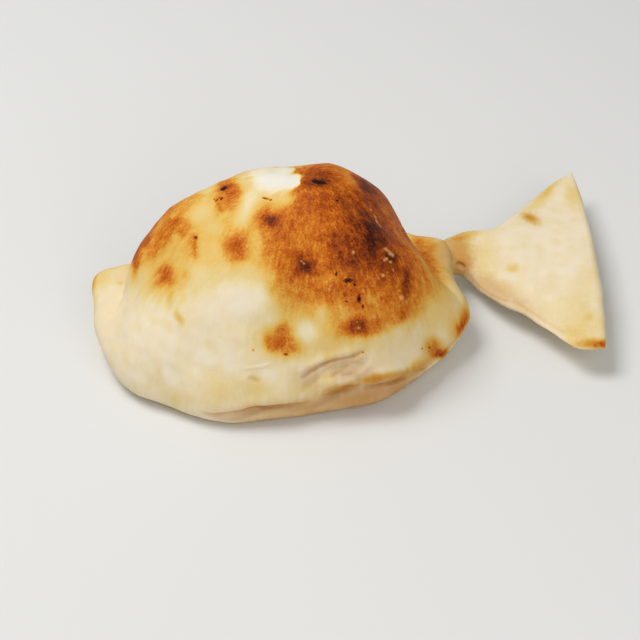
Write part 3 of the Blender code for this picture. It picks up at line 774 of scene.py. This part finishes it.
def torn_patch(place, ragged):
    """1 on the floury patch and 0 outside it, by the distance to its outline and the side on which a point
    lies. Also how torn its edge is there, from 0 to 1."""
    inside = np.zeros(place[0].shape, bool)
    for (x0, y0), (x1, y1) in zip(PATCH, PATCH[1:] + PATCH[:1]):
        between_ends = (place[1] < y0) != (place[1] < y1)
        inside ^= between_ends & (place[0] < x0 + (place[1] - y0) * (x1 - x0)/(y1 - y0 + (y1 == y0)))
    depth = np.where(inside, 1, -1) * line_distance(place, PATCH + PATCH[:1])[0]
    torn = smooth_step(place[0], PATCH_TORN_FROM, PATCH_TORN_TO)
    soft = PATCH_FADED + (PATCH_TORN - PATCH_FADED)*torn
    return smooth_step(depth + PATCH_RAGGED*ragged*(2 - torn), -soft, soft), torn


def line_distance(place, line):
    """How far each point lies from a line through the given places, in pixels, to its nearest stretch,
    and how far along the line that is, from 0 to 1."""
    nearest, reached = np.full(place[0].shape, np.inf), np.zeros(place[0].shape)
    for step, ((x0, y0), (x1, y1)) in enumerate(zip(line, line[1:])):
        run = np.array([x1 - x0, y1 - y0])
        share = np.clip(((place[0] - x0)*run[0] + (place[1] - y0)*run[1]) / (run @ run), 0, 1)
        far = np.hypot(place[0] - x0 - share*run[0], place[1] - y0 - share*run[1])
        reached = np.where(far < nearest, (step + share)/(len(line) - 1), reached)
        nearest = np.minimum(nearest, far)
    return nearest, reached


def crease_share(place, line, half, ragged=0):
    """1 along a crease, falling off across it by its half width in mm and tapering towards its ends."""
    far, along = line_distance(place, line)
    far = np.clip(far/(half*PIXELS_PER_MM) + ragged, 0, None)
    return np.exp(-far**2) * np.sqrt(np.sin(np.pi*along))


def seen_share(points, normal):
    """1 where the crust faces the photograph's camera, falling to 0 where it turns away or lies low behind
    the dome."""
    toward = CAMERA_AT - points
    facing = (normal * toward).sum(2) / np.linalg.norm(toward, axis=2)
    x, y, z = np.moveaxis(points, 2, 0)
    behind = between(x, BEHIND_LEFT, BEHIND_RIGHT, BEHIND_FADE) * smooth_step(y, BEHIND_FROM, BEHIND_TO)
    low = smooth_step(BEHIND_HEIGHT - z, 0, BEHIND_FADE)
    return smooth_step(facing, SEEN_FROM, SEEN_TO) * (1 - behind*low)


def toasting(points, place, seen, slide):
    """How far each point is toasted, and how far it is darkened towards tan, by dulling and by painted
    shade.
    What the photograph shows is laid on as strokes.
    The far side gets the same mottling by height and noise, and the two meet where the crust turns away."""
    ragged = layered(points, RAGGED) + layered(slide, RAGGED_STREAKS)
    shown = FLOURY + layered(points, FLOUR_CLOUDS)
    for strokes in (GOLDEN, BROWN, SCORCHED, PALE, LEFT_END, FRONT_EDGE, TAIL):
        shown = lay(shown, place, strokes, ragged)
    patch, _ = torn_patch(place, ragged)
    shown = shown + (PATCH_SHADE - shown)*patch
    tan_and_shade = lay(np.zeros(seen.shape), place, TANNED_AND_SHADED, ragged)
    # Painted shade in and round each crease, darkening it towards tan
    for line, half, _, level in CREASES:
        core = CREASE_SHADE_CORE*crease_share(place, line, half, ragged)
        halo = (1 - CREASE_SHADE_CORE)*crease_share(place, line, CREASE_SHADE_HALO*half)
        tan_and_shade = tan_and_shade + (1 - tan_and_shade) * level * (core + halo)
    z = points[..., 2]
    mottle = HIDDEN_MIDDLE + layered(points, HIDDEN_MOTTLE) + layered(slide, HIDDEN_STREAKS)
    hidden = FLOURY + smooth_step(z, HIDDEN_FROM, HIDDEN_TO) * (HIDDEN_LIGHT + HIDDEN_SWING*mottle)
    hidden = hidden + smooth_step(BASE_HEIGHT - z, 0, BASE_HEIGHT) * (BASE_TOAST + BASE_SWING*mottle)
    return hidden + (shown - hidden)*seen, tan_and_shade*seen


def crust_relief(points, place, seen):
    """Height of the crust over its smooth form, in mm: dents, creases, the sunk patch and the blisters,
    which all fade out where the crust lies on its base."""
    rough = layered(points, DENTS)
    for line, half, proud, _ in CREASES:
        rough = rough + proud * seen * crease_share(place, line, half)
    patch, torn = torn_patch(place, 0)
    rough = rough - PATCH_SUNK*patch*torn*seen + BLISTER_PROUD*spotted(place, BLISTERS, seen)
    return rough * smooth_step(points[..., 2], FLAT_UNDER, FULL_OVER)


def dressed(rings, slide, share=1):
    """The rings raised along their normals by a share of the crust's relief, and what each of their points
    carries for its material."""
    normal = outward(rings)
    place, seen = in_picture(rings), seen_share(rings, normal)
    raised = rings + normal * (share*crust_relief(rings, place, seen))[..., None]
    toast, tan_and_shade = toasting(rings, place, seen, slide)
    return raised, {"toast": toast, "tan_and_shade": tan_and_shade, "char": spotted(place, SPECKS, seen),
                    "blister": spotted(place, BLISTERS, seen), "slope": slide*MM}


def slope_place(points):
    """Place on the crust for its streaks: the bearing from the crown, at a radius that grows by only a
    share of the real one, and the way down the slope, squeezed. Both draw the streaks out downwards."""
    spoke = points[..., :2] - CROWN_AT
    far = np.linalg.norm(spoke, axis=-1, keepdims=True)
    plan = spoke/far * (STREAK_RADIUS + STREAK_SPREAD*far)
    step = np.linalg.norm(np.diff(points, axis=0), axis=2)
    down = np.vstack([np.zeros(points.shape[1]), np.cumsum(step, 0)])
    return np.concatenate([plan, STREAK_SQUEEZE*down[..., None]], -1)


def body_surface():
    """The body's rings, closed over the crown and across the flat base."""
    rings = body_rings()
    middle = rings[-1].mean(0)
    share = np.linspace(1, 0, BASE_RINGS + 1)[1:-1, None, None]
    return np.concatenate([rings, middle + (rings[-1] - middle)*share]), middle


def ring_quads(around, depth):
    """Quads between each ring and the next, and their corners' places in the unrolled sheet: across it by
    the share of the way around, and down it by the depth of each ring."""
    i, k = np.meshgrid(np.arange(len(depth) - 1), np.arange(around), indexing="ij")
    here, there = i*around + k, i*around + (k + 1) % around
    quads = np.stack([here, here + around, there + around, there], -1).reshape(-1, 4)
    columns, rows = np.stack([k, k, k + 1, k + 1], -1), np.stack([i, i + 1, i + 1, i], -1)
    return quads, np.stack([columns/around, 1 - depth[rows]], -1).reshape(-1, 2)


def pole_fan(pole, first, around, near, far, height, ring_height):
    """Triangles from a pole to each stretch of the ring beside it, and their corners in the unrolled
    sheet, with the pole at one height and the ring at another. Near and far say which end of a stretch
    comes first, so that the faces point outwards."""
    k = np.arange(around)
    faces = np.stack([np.full(around, pole), first + (k + near) % around, first + (k + far) % around], -1)
    across = np.stack([k + 0.5, k + near, k + far], -1) / around
    up = np.tile([height, ring_height, ring_height], (around, 1))
    return faces, np.stack([across, up], -1).reshape(-1, 2)


def add_surface(name, points, faces, sheet, looks, material):
    """A smooth-shaded piece in metres with its unrolled sheet as UV map and its looks on each point."""
    mesh = bpy.data.meshes.new(name)
    mesh.from_pydata((points*MM).tolist(), [], faces)
    mesh.shade_smooth()
    layer = mesh.uv_layers.new(name="OFBake")
    layer.data.foreach_set("uv", np.ascontiguousarray(sheet, dtype=np.float32).ravel())
    for look in ("toast", "tan_and_shade", "char", "blister"):
        carried = mesh.attributes.new(look, "FLOAT", "POINT")
        carried.data.foreach_set("value", looks[look].astype(np.float32).ravel())
    streaks = mesh.attributes.new("slope", "FLOAT_VECTOR", "POINT")
    streaks.data.foreach_set("vector", looks["slope"].astype(np.float32).ravel())
    mesh.materials.append(material)
    piece = bpy.data.objects.new(name, mesh)
    bpy.context.scene.collection.objects.link(piece)
    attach(piece, "root")
    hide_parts("calzone")


def sheet_rows(points):
    """How far down the unrolled sheet each ring lies, from 0 to 1, by the mean distance between rings."""
    step = np.linalg.norm(np.diff(points, axis=0), axis=2).mean(1)
    return np.append(0, np.cumsum(step)) / step.sum()


def add_body(middle, material):
    """The body's crust, from the crown over the rim to the middle of the base."""
    rings, base = body_surface()
    lifted, looks = dressed(rings, slope_place(rings))
    looks = {look: np.concatenate([rows.reshape(-1, *rows.shape[2:]), rows[[0, -1]].mean(1)])
             for look, rows in looks.items()}
    count, around = rings.shape[:2]
    crown = lifted[0].mean(0) + (0, 0, CROWN_HEIGHT - rings[0, :, 2].mean())
    points = np.vstack([lifted.reshape(-1, 3), crown, base]) - middle
    quads, sheet = ring_quads(around, POLE_SHARE + (1 - 2*POLE_SHARE)*sheet_rows(rings))
    top, top_sheet = pole_fan(len(points) - 2, 0, around, 0, 1, 1, 1 - POLE_SHARE)
    low, low_sheet = pole_fan(len(points) - 1, (count - 1)*around, around, 1, 0, 0, POLE_SHARE)
    faces = quads.tolist() + top.tolist() + low.tolist()
    sheet = np.concatenate([sheet, top_sheet, low_sheet])
    add_surface("body_crust", points, faces, sheet, looks, material)


def add_tail(middle, material):
    """The tail's crust, from inside the neck to its rounded end, each shut by strips from its upper to its
    lower side."""
    rings = tail_rings()
    lifted, looks = dressed(rings, rings, TAIL_RELIEF)
    count, around = rings.shape[:2]
    quads, sheet = ring_quads(around, sheet_rows(rings))
    k = np.arange(around // 2)
    low, lower, last = (around - k) % around, around - k - 1, (count - 1)*around
    root = np.stack([k, k + 1, lower, low], -1)
    end = np.stack([last + k, last + low, last + lower, last + k + 1], -1)
    caps = [list(dict.fromkeys(face)) for face in root.tolist() + end.tolist()]
    corners = np.array([point for face in caps for point in face])
    sheet = np.concatenate([sheet, np.stack([corners % around / around, corners < around], -1)])
    add_surface("tail_crust", lifted.reshape(-1, 3) - middle, quads.tolist() + caps, sheet, looks,
                material)


def linear(hex_colour):
    """Linear RGBA of an sRGB hex colour."""
    value = np.array([int(hex_colour[i:i + 2], 16) for i in (1, 3, 5)]) / 255
    value = np.where(value <= 0.04045, value/12.92, ((value + 0.055)/1.055)**2.4)
    return (*value, 1.0)


def add_node(tree, kind, settings=None, inputs=None):
    """A node with its settings, and its inputs as values or as sockets to link."""
    node = tree.nodes.new(kind)
    for name, value in (settings or {}).items():
        setattr(node, name, value)
    for name, value in (inputs or {}).items():
        if isinstance(value, bpy.types.NodeSocket):
            tree.links.new(value, node.inputs[name])
        else:
            node.inputs[name].default_value = value
    return node


def crust_texture(tree):
    """Mottling about 0 from blotches, streaks down the slope and fine grain, as a socket."""
    place = add_node(tree, "ShaderNodeTexCoord").outputs["Object"]
    slope = add_node(tree, "ShaderNodeAttribute", {"attribute_name": "slope"}).outputs["Vector"]
    layers = ((place, BLOTCH, BLOTCH_DETAIL, BLOTCH_WEIGHT), (slope, STREAK, FINE_DETAIL, STREAK_WEIGHT),
              (place, GRAIN, FINE_DETAIL, GRAIN_WEIGHT))
    texture = 0
    for where, size, detail, weight in layers:
        noise = add_node(tree, "ShaderNodeTexNoise", inputs={
            "Vector": where, "Scale": 1/(size*MM), "Detail": detail, "Roughness": DETAIL_FADE})
        level = add_node(tree, "ShaderNodeMapRange", inputs={
            "Value": noise.outputs["Fac"], "To Min": -weight, "To Max": weight})
        texture = add_node(tree, "ShaderNodeMath", {"operation": "ADD"}, {
            0: texture, 1: level.outputs["Result"]}).outputs[0]
    return texture


def crust_shade(tree, toast, texture):
    """How far the crust is toasted with its mottling, which is stronger where it is darker, and specks."""
    swing = add_node(tree, "ShaderNodeMapRange", inputs={
        "Value": toast, "From Min": SWING_FROM, "From Max": SWING_TO,
        "To Min": SWING_LEAST, "To Max": SWING_MOST})
    mottled = add_node(tree, "ShaderNodeMath", {"operation": "MULTIPLY_ADD"}, {
        0: texture, 1: swing.outputs["Result"], 2: toast})
    char = add_node(tree, "ShaderNodeAttribute", {"attribute_name": "char"})
    ragged = add_node(tree, "ShaderNodeMath", {"operation": "MULTIPLY_ADD"}, {
        0: texture, 1: SPECK_RAGGED, 2: char.outputs["Fac"]})
    speck = add_node(tree, "ShaderNodeMapRange", inputs={
        "Value": ragged.outputs[0], "From Min": SPECK_FROM, "From Max": SPECK_TO, "To Max": SPECK_SHADE})
    return add_node(tree, "ShaderNodeMath", {"operation": "ADD"}, {
        0: mottled.outputs[0], 1: speck.outputs["Result"]}).outputs[0]


def crust_colour(tree, shade, blister):
    """The colour of toasting by its shade, darkened by the tan for dulled dough and painted shade, then the
    blisters, as a socket.
    """
    ramp = add_node(tree, "ShaderNodeValToRGB", inputs={"Fac": shade})
    stops = ramp.color_ramp.elements
    while len(stops) < len(TOAST_COLOURS):
        stops.new(1.0)
    for stop, (at, colour) in zip(stops, TOAST_COLOURS):
        stop.position = at
        stop.color = linear(colour)
    tan_and_shade = add_node(tree, "ShaderNodeAttribute", {"attribute_name": "tan_and_shade"})
    dulled_and_shaded = add_node(tree, "ShaderNodeMix", {"data_type": "RGBA", "blend_type": "MULTIPLY"}, {
        0: tan_and_shade.outputs["Fac"], 6: ramp.outputs["Color"], 7: linear(TAN_AND_SHADE)})
    return add_node(tree, "ShaderNodeMix", {"data_type": "RGBA"}, {
        0: blister, 6: dulled_and_shaded.outputs[2], 7: linear(BLISTER_AND_HIGHLIGHT)}).outputs[2]


def baked_crust():
    """Baked bread crust: floury white dough that dries to cream, then toasts to gold, brown and char.
    The eye sees a matt, slightly grained skin, glossier and more streaked the darker it is."""
    material = bpy.data.materials.new("Baked bread crust, floured and toasted")
    material.use_nodes = True
    tree = material.node_tree
    shader = tree.nodes["Principled BSDF"]
    shader.inputs["Specular IOR Level"].default_value = SHINE
    toast = add_node(tree, "ShaderNodeAttribute", {"attribute_name": "toast"}).outputs["Fac"]
    texture = crust_texture(tree)
    shade = crust_shade(tree, toast, texture)
    cone = add_node(tree, "ShaderNodeAttribute", {"attribute_name": "blister"})
    blister = add_node(tree, "ShaderNodeMapRange", inputs={
        "Value": cone.outputs["Fac"], "From Min": BLISTER_FROM, "From Max": BLISTER_TO,
        "To Max": BLISTER_COVER}).outputs["Result"]
    tree.links.new(crust_colour(tree, shade, blister), shader.inputs["Base Color"])
    rough = add_node(tree, "ShaderNodeMapRange", inputs={
        "Value": shade, "From Min": MATT_UNDER, "From Max": GLOSSY_OVER, "To Min": MATT, "To Max": GLOSSY})
    tree.links.new(rough.outputs["Result"], shader.inputs["Roughness"])
    crisp = add_node(tree, "ShaderNodeMapRange", inputs={
        "Value": toast, "From Min": CRISP_FROM, "From Max": CRISP_TO, "To Min": CRISP_LEAST})
    grained = add_node(tree, "ShaderNodeMath", {"operation": "MULTIPLY"}, {
        0: texture, 1: crisp.outputs["Result"]})
    height = add_node(tree, "ShaderNodeMath", {"operation": "MULTIPLY_ADD"}, {
        0: blister, 1: BLISTER_BUMP, 2: grained.outputs[0]})
    bump = add_node(tree, "ShaderNodeBump", inputs={
        "Height": height.outputs[0], "Strength": BUMP_STRENGTH, "Distance": BUMP_HEIGHT*MM})
    tree.links.new(bump.outputs["Normal"], shader.inputs["Normal"])
    return material


def add_stage():
    """A plain pale floor."""
    mesh = bpy.data.meshes.new("floor")
    half = FLOOR_HALF*MM
    mesh.from_pydata([(-half, -half, 0), (half, -half, 0), (half, half, 0), (-half, half, 0)], [],
                     [(0, 1, 2, 3)])
    floor = bpy.data.objects.new("floor", mesh)
    bpy.context.scene.collection.objects.link(floor)
    paint = bpy.data.materials.new("Matt pale board")
    paint.use_nodes = True
    shader = paint.node_tree.nodes["Principled BSDF"]
    shader.inputs["Base Color"].default_value = linear(FLOOR_COLOUR)
    shader.inputs["Roughness"].default_value = FLOOR_ROUGHNESS
    mesh.materials.append(paint)


def add_light(name, place, size, watts):
    """A square soft light at a place in mm, turned to the middle of the calzone."""
    lamp = bpy.data.lights.new(name, "AREA")
    lamp.size = size*MM
    lamp.energy = watts
    light = bpy.data.objects.new(name, lamp)
    light.location = np.array(place)*MM
    bpy.context.scene.collection.objects.link(light)
    aim = mathutils.Vector(np.array(LIGHT_AIM) - place)
    light.rotation_euler = aim.to_track_quat("-Z", "Y").to_euler()


def add_camera(middle):
    """The camera at the photograph's angle."""
    right, up, ahead = camera_axes()
    lens = bpy.data.cameras.new("camera")
    lens.lens = LENS
    lens.sensor_width = SENSOR
    camera = bpy.data.objects.new("camera", lens)
    bpy.context.scene.collection.objects.link(camera)
    turn = mathutils.Matrix(np.stack([right, up, -ahead], 1).tolist())
    camera.matrix_world = mathutils.Matrix.Translation((CAMERA_AT - middle)*MM) @ turn.to_4x4()
    bpy.context.scene.camera = camera


def main():
    """The calzone's crust round the middle of its plan, on a floor, with its lights and camera."""
    every = np.vstack([body_rings().reshape(-1, 3), tail_rings().reshape(-1, 3)])
    middle = (every.min(0) + every.max(0)) / 2 * (1, 1, 0)
    crust = baked_crust()
    add_body(middle, crust)
    add_tail(middle, crust)
    add_stage()
    add_light("key light", KEY_AT, KEY_SIZE, KEY_WATTS)
    add_light("fill light", FILL_AT, FILL_SIZE, FILL_WATTS)
    world = bpy.data.worlds.new("soft room light")
    bpy.context.scene.world = world
    world.use_nodes = True
    world.node_tree.nodes["Background"].inputs["Color"].default_value = linear(ROOM_COLOUR)
    world.node_tree.nodes["Background"].inputs["Strength"].default_value = ROOM_STRENGTH
    bpy.context.scene.view_settings.view_transform = "Standard"
    add_camera(middle)


main()
